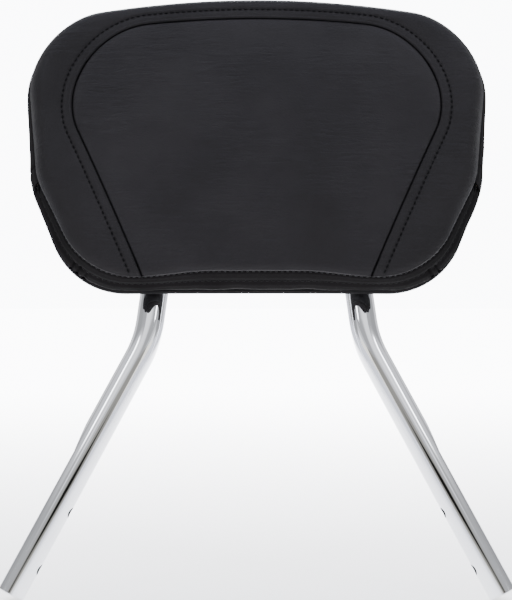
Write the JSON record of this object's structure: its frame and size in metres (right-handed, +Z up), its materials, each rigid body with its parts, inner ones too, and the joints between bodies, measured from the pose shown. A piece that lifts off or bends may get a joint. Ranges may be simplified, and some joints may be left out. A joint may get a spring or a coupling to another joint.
{
  "type": "sissy bar",
  "caption": "Padded motorcycle backrest on a chromed tube hoop; the two splayed legs end in flats pressed on the outer side and drilled with cross holes for side-bracket bolts.",
  "frame": {"origin": "midway between the tube axes at the two lower bolt holes, where the side brackets hold the bar", "axes": "+X to the right seen from the front of the pad, -Y the way the pad faces (towards the rider), +Z up; the bar leans back 14.5 degrees towards +Y"},
  "size_m": [0.379, 0.1246, 0.4588],
  "materials": {
    "chromed_tube": "polished chrome plate over steel tube",
    "plated_strap": "chrome plate over flat steel bar",
    "plated_weld": "chrome plate over a rippled weld bead",
    "back_vinyl": "fine-grained black cover material, matt",
    "plywood": "sanded plywood",
    "foam": "open-cell foam",
    "centre_leather": "smooth black leather, satin",
    "border_leather": "smooth black leather, satin",
    "boxing_leather": "smooth black leather, satin",
    "binding_leather": "smooth black leather, satin",
    "yellow_zinc": "yellow passivated zinc plate over steel",
    "zinc": "bright zinc plate"
  },
  "bodies": {
    "root": {"upright_hoop": "chromed_tube", "lower_strap": "plated_strap", "upper_strap": "plated_strap", "strap_welds": "plated_weld", "back_cover": "back_vinyl", "back_board": "plywood", "foam_pad": "foam", "centre_panel": "centre_leather", "border_panel": "border_leather", "lower_boxing": "boxing_leather", "upper_boxing": "boxing_leather", "edge_binding": "binding_leather", "tee_nuts": "yellow_zinc", "pad_bolts": "zinc", "lock_washers": "zinc", "flat_washers": "zinc"}
  },
  "joints": []
}
